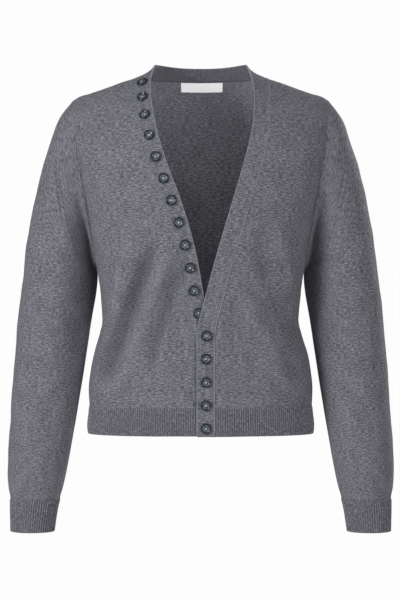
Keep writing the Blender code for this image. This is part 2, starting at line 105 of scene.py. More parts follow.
# A body section is |x/half|^PLAN + |y/depth|^PLAN = 1 about its side line.
PLAN = 2.4
TORSO = table(
    "z half front back side",
    (-0.546, 0.1668, -0.0890, 0.0890, 0.000),
    (-0.534, 0.1680, -0.0910, 0.0910, 0.000),
    (-0.507, 0.1656, -0.0925, 0.0935, 0.000),
    (-0.480, 0.1668, -0.0970, 0.0970, 0.000),
    (-0.448, 0.1634, -0.0985, 0.0955, -0.001),
    (-0.420, 0.1574, -0.0975, 0.0910, -0.002),
    (-0.396, 0.1502, -0.0960, 0.0870, -0.003),
    (-0.376, 0.1456, -0.0955, 0.0850, -0.004),
    (-0.345, 0.1482, -0.0985, 0.0865, -0.006),
    (-0.308, 0.1530, -0.1045, 0.0920, -0.008),
    (-0.268, 0.1600, -0.1100, 0.1000, -0.008),
    (-0.236, 0.1668, -0.1130, 0.1060, -0.006),
    (-0.184, 0.1802, -0.1135, 0.1120, -0.004),
    (-0.140, 0.1915, -0.1080, 0.1130, -0.002),
    (-0.094, 0.2025, -0.1000, 0.1080, 0.000),
    (-0.048, 0.2135, -0.0880, 0.1000, 0.000),
    (0.020, 0.2250, -0.0740, 0.0880, 0.000),
)

# The line of the shoulders, carried on over the neck opening.
RIDGE = table(
    "x z",
    (0.0000, 0.0200),
    (0.0400, 0.0140),
    (0.0600, 0.0085),
    (0.0685, 0.0036),
    (0.0725, -0.0016),
    (0.0790, -0.0066),
    (0.0926, -0.0127),
    (0.1174, -0.0208),
    (0.1420, -0.0298),
    (0.1670, -0.0382),
    (0.1826, -0.0430),
    (0.1920, -0.0490),
    (0.2150, -0.0640),
)

ARMHOLE = table(
    "z x",
    (-0.292, 0.1555),
    (-0.280, 0.1570),
    (-0.262, 0.1594),
    (-0.236, 0.1634),
    (-0.210, 0.1670),
    (-0.184, 0.1712),
    (-0.140, 0.1794),
    (-0.094, 0.1862),
    (-0.048, 0.1914),
)

# Each front's free edge and band seam, out from the centre line to its own side.
FRONT_ROW = "z edge seam"
FRONTS = {
    "left": table(
        FRONT_ROW,
        (-0.546, -0.0053, 0.0207),
        (-0.405, -0.0053, 0.0207),
        (-0.385, -0.0036, 0.0226),
        (-0.345, 0.0060, 0.0325),
        (-0.290, 0.0207, 0.0470),
        (-0.216, 0.0422, 0.0690),
        (-0.143, 0.0637, 0.0905),
        (-0.094, 0.0752, 0.0990),
        (-0.042, 0.0786, 0.1020),
        (-0.012, 0.0735, 0.1000),
        (0.004, 0.0685, 0.1000),
    ),
    "right": table(
        FRONT_ROW,
        (-0.546, -0.0205, 0.0057),
        (-0.430, -0.0205, 0.0057),
        (-0.400, -0.0165, 0.0095),
        (-0.370, -0.0107, 0.0150),
        (-0.339, -0.0041, 0.0212),
        (-0.279, 0.0068, 0.0321),
        (-0.211, 0.0259, 0.0518),
        (-0.143, 0.0506, 0.0775),
        (-0.094, 0.0650, 0.0905),
        (-0.050, 0.0722, 0.0975),
        (-0.025, 0.0740, 0.0985),
        (0.004, 0.0685, 0.1000),
    ),
}

# Where the fronts cross: how far each stands off the body surface near the centre line.
LAP = table(
    "z left right",
    (-0.546, 0.0016, -0.0014),
    (-0.405, 0.0016, -0.0014),
    (-0.385, 0.0034, -0.0014),
    (-0.366, 0.0058, -0.0014),
    (-0.335, 0.0036, -0.0012),
    (-0.290, 0.0000, 0.0000),
    (0.005, 0.0000, 0.0000),
)
LAP_INNER = 0.030
LAP_OUTER = 0.075

# The groove that the over band's edge presses into the under front.
LAP_TOP_Z = -0.352
LAP_FADE = 0.020
LAP_PRESS = 0.0014
LAP_PRESS_WIDTH = 0.0022

# Creases of the panels, seen from the front, x out to the panel's own side: soft ridges and, where
# lift is negative, troughs.
FOLD_ROW = "x_top z_top x_low z_low width lift"
FOLDS = {
    "right": table(
        FOLD_ROW,
        (0.073, -0.275, 0.141, -0.455, 0.0125, -0.0112),
        (0.047, -0.282, 0.109, -0.445, 0.0120, 0.0072),
        (0.028, -0.292, 0.076, -0.442, 0.0110, -0.0062),
        (0.104, -0.262, 0.132, -0.368, 0.0105, 0.0046),
        (0.080, -0.304, 0.108, -0.368, 0.0050, -0.0016),
        (0.137, -0.300, 0.147, -0.345, 0.0060, -0.0022),
        (0.122, -0.226, 0.134, -0.262, 0.0070, -0.0018),
    ),
    "left": table(
        FOLD_ROW,
        (0.046, -0.236, 0.086, -0.244, 0.0085, 0.0030),
        (0.084, -0.255, 0.098, -0.322, 0.0130, -0.0042),
        (0.102, -0.337, 0.143, -0.412, 0.0120, -0.0038),
        (0.060, -0.325, 0.122, -0.455, 0.0120, 0.0036),
        (0.118, -0.250, 0.134, -0.330, 0.0100, 0.0038),
        (0.086, -0.290, 0.106, -0.345, 0.0050, -0.0014),
        (0.143, -0.290, 0.150, -0.330, 0.0060, -0.0020),
        (0.128, -0.436, 0.146, -0.468, 0.0080, -0.0022),
    ),
    "back": table(
        FOLD_ROW,
        (-0.060, -0.300, -0.126, -0.372, 0.0110, -0.0071),
        (-0.080, -0.290, -0.138, -0.350, 0.0090, 0.0051),
        (0.052, -0.316, 0.120, -0.384, 0.0120, -0.0068),
        (0.076, -0.296, 0.136, -0.362, 0.0080, 0.0044),
        (-0.020, -0.362, -0.090, -0.408, 0.0120, -0.0054),
        (0.012, -0.378, 0.082, -0.420, 0.0100, -0.0048),
        (-0.150, -0.110, -0.118, -0.210, 0.0120, -0.0061),
        (0.152, -0.116, 0.124, -0.198, 0.0110, -0.0054),
        (-0.110, -0.425, -0.140, -0.462, 0.0090, -0.0041),
    ),
}

# Rings of a sleeve: outer and inner edge seen from the front, half depth and middle.
SLEEVE = table(
    "ring outer_x outer_z inner_x inner_z depth middle",
    (0, 0.1914, -0.0490, 0.1556, -0.2920, 0.050, 0.000),
    (1, 0.2122, -0.0775, 0.1570, -0.2940, 0.056, 0.004),
    (2, 0.2330, -0.1345, 0.1574, -0.2965, 0.059, 0.008),
    (3, 0.2488, -0.1970, 0.1566, -0.3010, 0.060, 0.010),
    (4, 0.2585, -0.2480, 0.1560, -0.3110, 0.060, 0.012),
    (5, 0.2655, -0.3030, 0.1578, -0.3330, 0.058, 0.012),
    (6, 0.2738, -0.3730, 0.1656, -0.3800, 0.055, 0.010),
    (7, 0.2795, -0.4500, 0.1760, -0.4500, 0.052, 0.005),
    (8, 0.2842, -0.5200, 0.1868, -0.5180, 0.048, 0.000),
    (9, 0.2876, -0.5900, 0.1986, -0.5880, 0.043, -0.010),
    (10, 0.2858, -0.6230, 0.2052, -0.6210, 0.038, -0.016),
    (11, 0.2826, -0.6410, 0.2104, -0.6395, 0.034, -0.019),
    (12, 0.2820, -0.6610, 0.2150, -0.6600, 0.032, -0.022),
    (13, 0.2810, -0.6896, 0.2192, -0.6896, 0.031, -0.026),
)
CUFF_RING = 11
LAST_RING = 13

# The rings over which the armhole's own shape fades, and the sleeve's front falls back to the body.
CAP_RINGS = 4.0
TUCK_TOP = 0.2
TUCK_LOW = 7.6
TUCK_FADE = 1.0
TUCK_SHARP = 2.2

# How much painted shade that fall and the creases put on the yarn, and painted highlight on crease
# ridges.
TUCK_PAINTED_SHADE = 0.35
CREASE_PAINTED_SHADE = 0.8

# Walls meet edge to edge at the armhole: the sleeve's shift towards it, by ring.
HINGE_RINGS = (0, 0.4, 1, 1.6)
HINGE_FADE = (1, 0.7, 0.3, 0)

# Creases of the sleeves: from one ring and angle to another. The angle runs from the inner edge
# (0) over the front (90) to the outer edge (180) and the back (270), in degrees.
CREASE_ROW = "ring_top angle_top ring_low angle_low width lift"
CREASES = {
    "right": table(
        CREASE_ROW,
        (1.5, 128, 2.5, 88, 0.0035, -0.0026),
        (1.7, 112, 2.6, 80, 0.0045, 0.0019),
        (2.8, 40, 4.3, 100, 0.0100, -0.0019),
        (4.6, 60, 5.3, 140, 0.0110, -0.0018),
        (5.5, 30, 6.2, 115, 0.0100, 0.0022),
        (7.6, 45, 7.9, 120, 0.0060, -0.0016),
        (8.4, 60, 8.7, 150, 0.0050, -0.0018),
        (9.1, 40, 9.3, 130, 0.0045, -0.0016),
        (9.7, 70, 9.9, 160, 0.0040, -0.0014),
        (2.4, 300, 4.0, 250, 0.0110, -0.0040),
        (4.6, 320, 5.4, 230, 0.0100, -0.0038),
        (6.4, 300, 6.9, 220, 0.0100, -0.0026),
        (8.7, 300, 9.0, 210, 0.0060, -0.0019),
    ),
    "left": table(
        CREASE_ROW,
        (1.6, 130, 2.1, 84, 0.0045, -0.0010),
        (2.0, 124, 2.6, 78, 0.0055, -0.0009),
        (2.9, 34, 4.4, 92, 0.0100, -0.0019),
        (4.9, 56, 5.5, 132, 0.0110, -0.0016),
        (6.5, 50, 7.1, 126, 0.0100, -0.0019),
        (7.9, 60, 8.1, 140, 0.0060, -0.0016),
        (8.8, 44, 9.0, 120, 0.0050, -0.0018),
        (9.5, 66, 9.7, 150, 0.0042, -0.0016),
        (2.2, 290, 3.7, 244, 0.0110, -0.0040),
        (4.4, 316, 5.3, 236, 0.0100, -0.0034),
        (6.8, 310, 7.2, 232, 0.0090, -0.0024),
        (9.0, 290, 9.3, 216, 0.0060, -0.0019),
    ),
}

# Slow waves that keep the panels from lying like sheet metal: length and height.
WAVES = ((0.085, 0.0007), (0.052, 0.0005), (0.031, 0.00028))

# Unevenness dies out this near a panel's edges.
WAVE_FADE = 0.020
BAND_WAVE = 0.25

# Ribs of the hem and cuffs.
RIB_PITCH = 0.0034
RIB_COLUMNS = 6
RIB_RELIEF = 0.0011
RIB_SHARP = 1.4
RIB_FADE = 0.004
RIB_ROWS = 27
TRIAL_COLUMNS = 300

# The raised welt beside the left band's seam, and the dip along sewn seams.
WELT = 0.0007
WELT_WIDTH = 0.0010
WELT_IN = 0.0016
SEAM_DIP = 0.0007
SEAM_DIP_WIDTH = 0.0026
SHALLOW = 0.6
SHOULDER_FADE = 0.016
ARMHOLE_SOFT_Z = -0.075
ARMHOLE_SOFT = 0.080

# Free edges: steps round a rolled rim, and the swelling beside it.
RIM_STEPS = 5
SWELL = 0.0003
SWELL_WIDTH = 0.002
SHARP_EDGE = 50

# Painted shade in troughs and highlight on ridges: the crease height at which they are full, how far
# they darken or lighten the yarn, and the height that gives the inside of a wall painted shade.
PAINTED_SHADE_HEIGHT = 0.008
TROUGH_PAINTED_SHADE = 0.42
BAND_TROUGH_PAINTED_SHADE = 0.68
RIDGE_PAINTED_LIGHT = 0.16
INSIDE_PAINTED_SHADE = -0.0040
NECK_INSIDE_PAINTED_SHADE = -0.0080

# Linking yarns laid along edges and seams.
CORD_RADIUS = 0.00055
CORD_TWIST = 0.22
CORD_PITCH = 0.0024
CORD_STEP = 0.0006
CORD_SIDES = 6
CORD_TAPER = 0.012
CORD_TIP = 0.15

# Buttons, evenly spaced along the middle of the band, and their turned profile from the back.
BUTTON_COUNT = 17
BUTTON_SIDES = 48
BUTTON_PROFILE = table(
    "radius height",
    (0.0040, 0.0000),
    (0.0066, 0.0002),
    (0.0077, 0.0009),
    (0.0080, 0.0017),
    (0.0079, 0.0025),
    (0.0074, 0.0031),
    (0.0068, 0.0033),
    (0.0062, 0.0031),
    (0.0057, 0.0025),
    (0.0052, 0.0020),
    (0.0040, 0.0016),
    (0.0028, 0.0014),
    (0.0016, 0.0014),
    (0.0012, 0.0019),
    (0.0007, 0.0024),
    (0.0002, 0.0026),
)

# The blank label, its drops below the neck seam, and how far its middle stands off the back.
LABEL_WIDTH = 0.064
LABEL_X = 0.0017
LABEL_DROPS = (0.0006, 0.0128)
LABEL_WALL = 0.0008
LABEL_PUFF = 0.0006
LABEL_COLUMNS = 40
LABEL_ROWS = 12

# Yarn colours, linear.
YARN_DARK = (0.060, 0.060, 0.072)
YARN_LIGHT = (0.300, 0.300, 0.342)
YARN_FLECK = (0.360, 0.360, 0.395)
# Linking yarn: partly its own lighter colour, partly painted highlight on the lit band edges.
LINK_YARN_AND_HIGHLIGHT = (0.200, 0.200, 0.225)
# Colour of the painted shade in troughs and on the inside, and of the dark neck seam yarn.
PAINTED_SHADE_YARN = (0.040, 0.040, 0.048)
LABEL_WHITE = (0.930, 0.930, 0.925)
LABEL_SHADE = tuple(0.92 * part for part in LABEL_WHITE)
BUTTON_DARK = (0.008, 0.011, 0.019)
BUTTON_PEARL = (0.100, 0.122, 0.155)
BUTTON_PIN = (0.700, 0.730, 0.780)

# Stitches of the jersey and, finer, of the bands; how high their parts rise, and over what depth.
STITCH, COURSE = 0.0017, 0.0013
BAND_STITCH, BAND_COURSE = 0.0015, 0.0012
LOOP_RISE, VALLEY_RISE, FUZZ_RISE = 0.9, 2.2, 1.1
STITCH_DEPTH = 0.00035
# Painted shade in the rib valleys and painted highlight on the rib crests.
VALLEY_SHADE, CREST_LIGHT = 0.50, 0.16

# Grains of the materials' noise, across the cloth and down it, and what makes up the mottle.
FUZZ_SIZE = (0.0011, 0.0008)
FLECK_SIZE = (1 / 520, 1 / 760)
TWIST_SIZE = (1 / 300, 1 / 160)
WEAR_SIZE = (1 / 400, 1 / 900)
TWILL_PITCH = 0.0004
GRAIN_HEIGHT = 0.0014
CLOUD_SIZE = 1 / 38
STREAK_SHARE, GRAIN_SHARE, CLOUD_SHARE = 0.75, 0.60, 0.15
DISH_RADIUS = 0.0051
PIN_RADIUS = 0.0010

# Yarn mottle: length and height of its streaks, width of its grain and the noise from dark to light.
Streaks = namedtuple("Streaks", "length height grain low high")
JERSEY_STREAK = Streaks(0.0060, 0.0016, 0.0019, 0.45, 1.03)
RIB_STREAK = Streaks(0.0022, 0.0040, 0.0018, 0.44, 1.06)

# Studio.
CAMERA_X = -0.0003
CAMERA_DISTANCE = 3.0
CAMERA_Z = -0.347
FRAME_HEIGHT = 0.9015
FLOOR_Z = -1.36
FLOOR_RADIUS = 3.4
FLOOR_SIDES = 96
BACKDROP = 0.982
AMBIENT = 0.11


def read(rows, column, at):
    """The column of a table at any value of its first column, on a smooth curve through the rows."""
    key = np.array([row[0] for row in rows])
    value = np.array([getattr(row, column) for row in rows])
    steps = np.diff(value) / np.diff(key)
    before, after = np.append(steps[0], steps), np.append(steps, steps[-1])
    most = STEEPEST * np.minimum(np.abs(before), np.abs(after)) * (before * after > 0)
    slope = np.clip(np.gradient(value, key), -most, most)
    at = np.clip(at, key[0], key[-1])
    i = np.clip(np.searchsorted(key, at, side="right") - 1, 0, len(key) - 2)
    span = key[i + 1] - key[i]
    t = (at - key[i]) / span
    start = (1 + 2 * t) * (1 - t) ** 2 * value[i] + t * (1 - t) ** 2 * span * slope[i]
    end = t * t * (3 - 2 * t) * value[i + 1] + t * t * (t - 1) * span * slope[i + 1]
    return start + end


def ease(t):
    """0 to 1 with level ends."""
    t = np.clip(t, 0, 1)
    return t * t * (3 - 2 * t)


def unit(vectors):
    return vectors / np.linalg.norm(vectors, axis=-1, keepdims=True)


def mirrored(points):
    return points * (-1, 1, 1)


def to_side(side):
    """What puts points that are worked out on the wearer's left on their own side."""
    return mirrored if side == "right" else np.array


def fade_ends(distance, reach):
    """0 at the first and last of the rows, 1 further in."""
    return ease(distance / reach) * ease((distance[-1:] - distance) / reach)


def hump(distance, width):
    """A soft rounded ridge across a line: 1 on it."""
    return np.exp(-((distance / width) ** 2))


def angles_round(count):
    """Angles of evenly spaced points round a circle."""
    return 2 * np.pi * np.arange(count) / count


def at_lengths(at, length, line):
    """Points of a line, or what goes with them, at distances along it."""
    return np.stack([np.interp(at, length, column) for column in line.T], axis=-1)


# The body surface


def body_z(x, drop):
    follow = 1 - ease(drop / ARMPIT_DROP)
    return SHOULDER_Z - drop + follow * (read(RIDGE, "z", np.abs(x)) - SHOULDER_Z)


def body_y(x, z, face):
    side = read(TORSO, "side", z)
    across = np.minimum(np.abs(x) / read(TORSO, "half", z), 1)
    under = np.clip((read(RIDGE, "z", np.abs(x)) - z) / ROUND_DROP, 0, 1)
    rounded = (1 - across**PLAN) ** (1 / PLAN) * np.sqrt(1 - (1 - under) ** 2)
    return side + (read(TORSO, face, z) - side) * rounded


def on_body(x, drop, face):
    z = body_z(x, drop)
    return np.stack([x, body_y(x, z, face), z], axis=-1)


def meet(drop, line):
    """x where rows cross a line that is given as x for each height."""
    x = np.full_like(drop, NECK_X)
    for _ in range(SETTLING):
        x = line(body_z(x, drop))
    return x


def row_ends(drops):
    """x where rows end, at the side seam or, above the armpit, at the armhole."""
    side = read(TORSO, "half", SHOULDER_Z - drops)
    armhole = meet(drops, lambda z: read(ARMHOLE, "x", z))
    return np.where(drops >= ARMPIT_DROP, side, armhole)


def spread(inner, outer, half, columns):
    """x of the columns from inner to outer, closer together where the section turns to the side."""
    ends = np.array([inner, outer]) / half
    angle = np.arcsin(np.sign(ends) * np.minimum(np.abs(ends), 1) ** (PLAN / 2))
    sine = np.sin(np.linspace(*angle, columns + 1))
    return half * np.sign(sine) * np.abs(sine) ** (2 / PLAN)


def panel_drops():
    """Drops of the fine rows of a panel, from the shoulder line to the rib."""
    top = ROUND_DROP * (1 - np.cos(np.linspace(0, np.pi / 2, TOP_ROWS + 1)))
    chest = np.linspace(ROUND_DROP, ARMPIT_DROP, CHEST_ROWS + 1)[1:]
    skirt = np.linspace(ARMPIT_DROP, RIB_DROP, SKIRT_ROWS + 1)[1:]
    return np.concatenate([top, chest, skirt])


ARMPIT_ROW = TOP_ROWS + CHEST_ROWS
PANEL_DROPS = panel_drops()
HEM_DROPS = np.linspace(RIB_DROP, HEM_DROP, HEM_ROWS + 1)
ALL_DROPS = np.concatenate([PANEL_DROPS, HEM_DROPS[1:]])


def grid_normals(points, ring=False):
    """Unit normals of a grid of points, by rows and columns, pointing away from its own middle line."""
    down = np.gradient(points, axis=0)
    if ring:
        over = np.roll(points, -1, axis=1) - np.roll(points, 1, axis=1)
    else:
        over = np.gradient(points, axis=1)
    normals = unit(np.cross(down, over))
    middle = points.mean(axis=1, keepdims=True) if ring else points * (0, 0, 1)
    return normals if ((points - middle) * normals).sum() > 0 else -normals


def bump_along(spots, start, end, width):
    """Height of a soft ridge from start to end at 2-D spots: 1 on its line, faded at its ends."""
    line = end - start
    gap = spots - start
    along = gap @ line / (line @ line)
    off = np.abs(gap @ np.array([line[1], -line[0]])) / np.linalg.norm(line)
    ends = ease((along + 0.25) / 0.5) * ease((1.25 - along) / 0.5)
    return ends * hump(off, width)


def fold_lift(panel, x, z):
    spots = np.stack([x, z], axis=-1)
    lift = np.zeros_like(x)
    for fold in FOLDS[panel]:
        start, end = np.array([fold.x_top, fold.z_top]), np.array([fold.x_low, fold.z_low])
        lift += fold.lift * bump_along(spots, start, end, fold.width)
    return lift


def wave_lift(u, v, seed):
    """Slow unevenness of hanging knit, the same on each run."""
    draw = np.random.default_rng(seed)
    lift = np.zeros_like(u)
    for length, height in WAVES:
        for _ in range(3):
            turn, start = draw.uniform(0, 2 * np.pi, 2)
            along = u * np.cos(turn) + v * np.sin(turn)
            lift += height / 3 * np.sin(2 * np.pi * along / length + start)
    return lift


def front_points(side, drops, band_columns, panel_columns):
    """Points of one front out to its own side: the band's columns first, then the panel's."""
    edges = meet(drops, lambda z: read(FRONTS[side], "edge", z))
    seams = meet(drops, lambda z: read(FRONTS[side], "seam", z))
    edges[drops == 0], seams[drops == 0] = NECK_EDGE_X, NECK_X
    halves = read(TORSO, "half", SHOULDER_Z - drops)
    rows = []
    for edge, seam, end, half in zip(edges, seams, row_ends(drops), halves):
        band = np.linspace(edge, seam, band_columns + 1)[:-1]
        rows.append(np.concatenate([band, spread(seam, end, half, panel_columns)]))
    points = on_body(np.array(rows), drops[:, None], "front")
    x, z = points[..., 0], points[..., 2]
    near = 1 - ease((np.abs(x) - LAP_INNER) / (LAP_OUTER - LAP_INNER))
    lift = near * read(LAP, side, z) + fold_lift(side, x, z)
    return points + grid_normals(points) * lift[..., None]


def neck_line(columns):
    return -NECK_X * np.cos(np.linspace(0, np.pi, columns + 1))


def neck_drop(x):
    """Drop of the back neck seam, which is level behind the neck and meets the shoulder line."""
    drop = np.zeros_like(x)
    for _ in range(SETTLING):
        drop = np.maximum(drop + body_z(x, drop) - NECK_Z, 0)
    return np.where(np.abs(x) < NECK_X, drop, 0)


def below_neck(x, drop):
    """Points of the back at a drop below its top edge, which dips behind the neck."""
    return on_body(x, drop + neck_drop(x) * (1 - ease(drop / NECK_FADE)), "back")


def back_points(drops, neck_columns, panel_columns):
    """Points of the back, from the wearer's right side to the left."""
    halves = read(TORSO, "half", SHOULDER_Z - drops)
    rows = []
    for drop, end, half in zip(drops, row_ends(drops), halves):
        flank = spread(NECK_X, end, half, panel_columns)[1:]
        x = np.concatenate([-flank[::-1], neck_line(neck_columns), flank])
        rows.append(below_neck(x, drop))
    points = np.array(rows)
    lift = fold_lift("back", points[..., 0], points[..., 2])
    return points + grid_normals(points) * lift[..., None]


def neck_points(seam, band_top):
    """Points of the back neck band: rows go round the neck, columns from its free edge to its seam."""
    turn = np.arccos(np.clip(-seam[:, 0] / NECK_X, -1, 1))
    round_back = np.sin(turn)[:, None]
    start = band_top[0]
    swell = NECK_SWELL * np.abs(np.cos(turn[:, None])) ** 3
    lift = (NECK_RISE - start[2] + swell) * np.sqrt(round_back)
    edge = np.stack(
        [-start[0] * np.cos(turn), NECK_BACK * round_back[:, 0], start[2] + lift[:, 0]], axis=-1
    )
    columns = []
    for across, point in zip(np.linspace(0, 1, len(band_top)), band_top):
        bend = point - (band_top[0] * (1 - across) + band_top[-1] * across)
        bends = np.where(seam[:, :1] < 0, bend * (-1, 1, 1), bend)
        columns.append(edge * (1 - across) + seam * across + bends * (1 - round_back**2))
    return np.stack(columns, axis=1)


# Sleeves


def ring_ellipse(ring, angle):
    outer = np.array([read(SLEEVE, "outer_x", ring), 0, read(SLEEVE, "outer_z", ring)])
    inner = np.array([read(SLEEVE, "inner_x", ring), 0, read(SLEEVE, "inner_z", ring)])
    middle = (outer + inner) / 2 + (0, read(SLEEVE, "middle", ring), 0)
    depth = np.array([0, -read(SLEEVE, "depth", ring), 0])
    return middle - np.cos(angle)[:, None] * (outer - inner) / 2 + np.sin(angle)[:, None] * depth


def loop_turn(loop):
    """Angle of each point of the armhole loop about the sleeve's axis."""
    top, low = loop[len(loop) // 2], loop[0]
    axis = (top - low) / 2
    along = np.clip((loop - (top + low) / 2) @ axis / (axis @ axis), -1, 1)
    turn = np.arccos(-along)
    turn[len(loop) // 2 :] = 2 * np.pi - turn[len(loop) // 2 :]
    turn[len(loop) // 2] = np.pi
    return turn


def sleeve_points(loop, loop_normals, rings):
    """Points of a tube on the wearer's left whose first rings blend out of the armhole loop."""
    even = angles_round(len(loop))
    turn = loop_turn(loop)
    rows = []
    for ring in rings:
        fade = 1 - ease(ring / CAP_RINGS)
        angle = even + (turn - even) * fade
        rows.append(ring_ellipse(ring, angle) + fade * (loop - ring_ellipse(0, turn)))
    points = np.array(rows)
    leave = unit(points[1] - points[0])
    own = grid_normals(points, ring=True)[0]
    outward = np.sign((leave * loop_normals).sum(axis=1, keepdims=True))
    shift = outward * (loop_normals - own) * CLOTH / 2
    return points + np.interp(rings, HINGE_RINGS, HINGE_FADE)[:, None, None] * shift


def crease_lift(side, rings, count, girth):
    """Height of the creases of a sleeve, by ring and angle, with lengths read off its girth."""
    angle = np.degrees(angles_round(count))
    length = np.interp(rings, [row.ring for row in SLEEVE], [-row.outer_z for row in SLEEVE])
    across, down = np.meshgrid(angle / 360, length)
    spots = np.stack([across * girth, down], axis=-1)
    lift = np.zeros_like(across)
    for crease in CREASES[side]:
        heights = np.interp([crease.ring_top, crease.ring_low], rings, length)
        start = np.array([crease.angle_top / 360 * girth, heights[0]])
        end = np.array([crease.angle_low / 360 * girth, heights[1]])
        lift += crease.lift * bump_along(spots, start, end, crease.width)
    return lift


def tuck(rings, count):
    """How far the front of a sleeve falls back towards its inner edge, beside the body."""
    sine = np.sin(angles_round(count))
    sine = np.where(np.arange(count) < count / 4, sine, 0)
    fade = ease((rings - TUCK_TOP) / TUCK_FADE) * ease((TUCK_LOW - rings) / (2 * TUCK_FADE))
    return (fade * read(SLEEVE, "depth", rings))[:, None] * (sine - sine**TUCK_SHARP)


# Meshes


def arc_lengths(points, axis):
    """Distance along a grid's rows or columns from the first point."""
    steps = np.linalg.norm(np.diff(points, axis=axis), axis=-1)
    start = np.zeros_like(steps.take([0], axis=axis))
    return np.concatenate([start, np.cumsum(steps, axis=axis)], axis=axis)


def cloth_spots(points, centre=0, ring=False):
    """Where each point lies on the flat cloth: across it from a centre column, and down it."""
    if ring:
        points = np.concatenate([points, points[:, :1]], axis=1)
    across = arc_lengths(points, 1)
    if ring:
        across = across * (across[:, -1].mean() / across[:, -1:])
    down = arc_lengths(points, 0).mean(axis=1, keepdims=True)
    return np.stack([across - across[:, centre : centre + 1], down + 0 * across], axis=-1)


def smooth_mesh(name, vertices, faces, spots, places):
    """A smooth mesh whose corners carry spots on the flat cloth, picked by each face's places."""
    mesh = bpy.data.meshes.new(name)
    mesh.from_pydata(vertices.tolist(), [], faces)
    flat = spots[[corner for place in places for corner in place]].astype(np.float32)
    mesh.uv_layers.new(name="Knit").data.foreach_set("uv", flat.ravel())
    mesh.shade_smooth()
    return mesh


def wall_mesh(
    name, points, normals, thickness, spots, ring=False, rolled=False, relief=0.0, inside_shade=INSIDE_PAINTED_SHADE
):
    """A closed wall: outer rows, the last row's rim, inner rows and back. A rolled rim is round.

    Relief is the crease height at each point and inside_shade that of the inner face; the materials
    read them as painted shade, darker in a trough and on the inside, and painted highlight on a ridge.
    """
    half = thickness / 2
    outer, inner = points + normals * half, points - normals * half
    rims = []
    if rolled:
        away = unit(points[-1] - points[-2])
        centre = points[-1] - away * half
        outer[-1], inner[-1] = centre + normals[-1] * half, centre - normals[-1] * half
        for turn in np.linspace(np.pi / 2, -np.pi / 2, RIM_STEPS + 2)[1:-1]:
            rims.append(centre + half * (np.cos(turn) * away + np.sin(turn) * normals[-1]))
    sheet = np.concatenate([outer, *[rim[None] for rim in rims], inner[::-1]])
    uv = np.concatenate([spots, *[spots[-1:]] * len(rims), spots[::-1]])
    lines, columns = sheet.shape[:2]
    index = np.arange(lines * columns).reshape(lines, columns)
    spot = np.arange(lines * uv.shape[1]).reshape(lines, -1)
    if ring:
        index = np.concatenate([index, index[:, :1]], axis=1)

    def quads(grid):
        after = np.roll(grid, -1, axis=0)
        corners = (grid[:, :-1], grid[:, 1:], after[:, 1:], after[:, :-1])
        return np.stack(corners, axis=-1).reshape(-1, 4)

    faces, places = quads(index).tolist(), quads(spot).tolist()
    if not ring:
        rows = len(points)
        for column, step in ((0, 1), (-1, -1)):
            for i in range(rows - 1):
                strip = [i, i + 1, lines - 2 - i, lines - 1 - i]
                faces.append(index[strip, column].tolist()[::step])
                places.append(spot[strip, column].tolist()[::step])
            if rims:
                fan = list(range(rows - 1, rows + len(rims) + 1))
                faces.append(index[fan, column].tolist()[::step])
                places.append(spot[fan, column].tolist()[::step])
    shell = sheet.reshape(-1, 3)
    corners = shell[quads(index)]
    areas = np.cross(corners[:, 2] - corners[:, 0], corners[:, 3] - corners[:, 1])
    if ((corners.mean(axis=1) - shell.mean(axis=0)) * areas).sum() < 0:
        faces = [face[::-1] for face in faces]
        places = [place[::-1] for place in places]
    mesh = smooth_mesh(name, shell, faces, uv.reshape(-1, 2), places)
    relief = relief + np.zeros(points.shape[:2])
    # The inner face gets painted shade.
    heights = np.concatenate([relief, *[relief[-1:]] * len(rims), relief[::-1] + inside_shade])
    heights = np.clip(heights / PAINTED_SHADE_HEIGHT, -1, 1).astype(np.float32)
    mesh.attributes.new("PaintedShadeAndLight", "FLOAT", "POINT").data.foreach_set("value", heights.ravel())
    mesh.set_sharp_from_angle(angle=np.radians(SHARP_EDGE))
    return mesh


def ring_mesh(name, rings, spots):
    """A closed skin over rings of points, with a cap at each end and a spot for each point."""
    index = np.arange(rings[..., 0].size).reshape(len(rings), -1)
    index = np.concatenate([index, index[:, :1]], axis=1)
    corners = (index[1:, :-1], index[1:, 1:], index[:-1, 1:], index[:-1, :-1])
    faces = np.stack(corners, axis=-1).reshape(-1, 4).tolist()
    faces += [index[0, :-1].tolist(), index[-1, -2::-1].tolist()]
    return smooth_mesh(name, rings.reshape(-1, 3), faces, spots, faces)


def place(name, mesh, material, slot, node=None):
    """A piece with the given material, which may stand for one CAD node and then hides it."""
    mesh.materials.append(material)
    piece = bpy.data.objects.new(name, mesh)
    bpy.context.scene.collection.objects.link(piece)
    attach(piece, "root")
    if node:
        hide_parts(node)
    return piece


def panel_waves(points, spots, seed):
    """Waves that die out near a panel's edges, and its distances across from both sides and down."""
    start, end = spots[..., 0] - spots[:, :1, 0], spots[:, -1:, 0] - spots[..., 0]
    down = arc_lengths(points, 0)
    lift = wave_lift(points[..., 0], points[..., 2], seed)
    lift = lift * ease(start / WAVE_FADE) * ease(end / WAVE_FADE) * fade_ends(down, WAVE_FADE)
    return lift, start, end, down


def seam_dip(distance):
    """Sewn seams pull the cloth in along their line."""
    return -SEAM_DIP * hump(distance, SEAM_DIP_WIDTH)


def lap_groove(side, seam, points):
    """The under front is pressed in along its band seam, where the over band's edge lies on it."""
    lapped = ease((LAP_TOP_Z - points[..., 2]) / LAP_FADE) * (side == "right")
    return -LAP_PRESS * lapped * hump(seam, LAP_PRESS_WIDTH)


def below_shoulder(points):
    """0 at the shoulder's end, where the armhole seam lies flat, to 1 further down."""
    return ease((ARMHOLE_SOFT_Z - points[..., 2]) / ARMHOLE_SOFT)


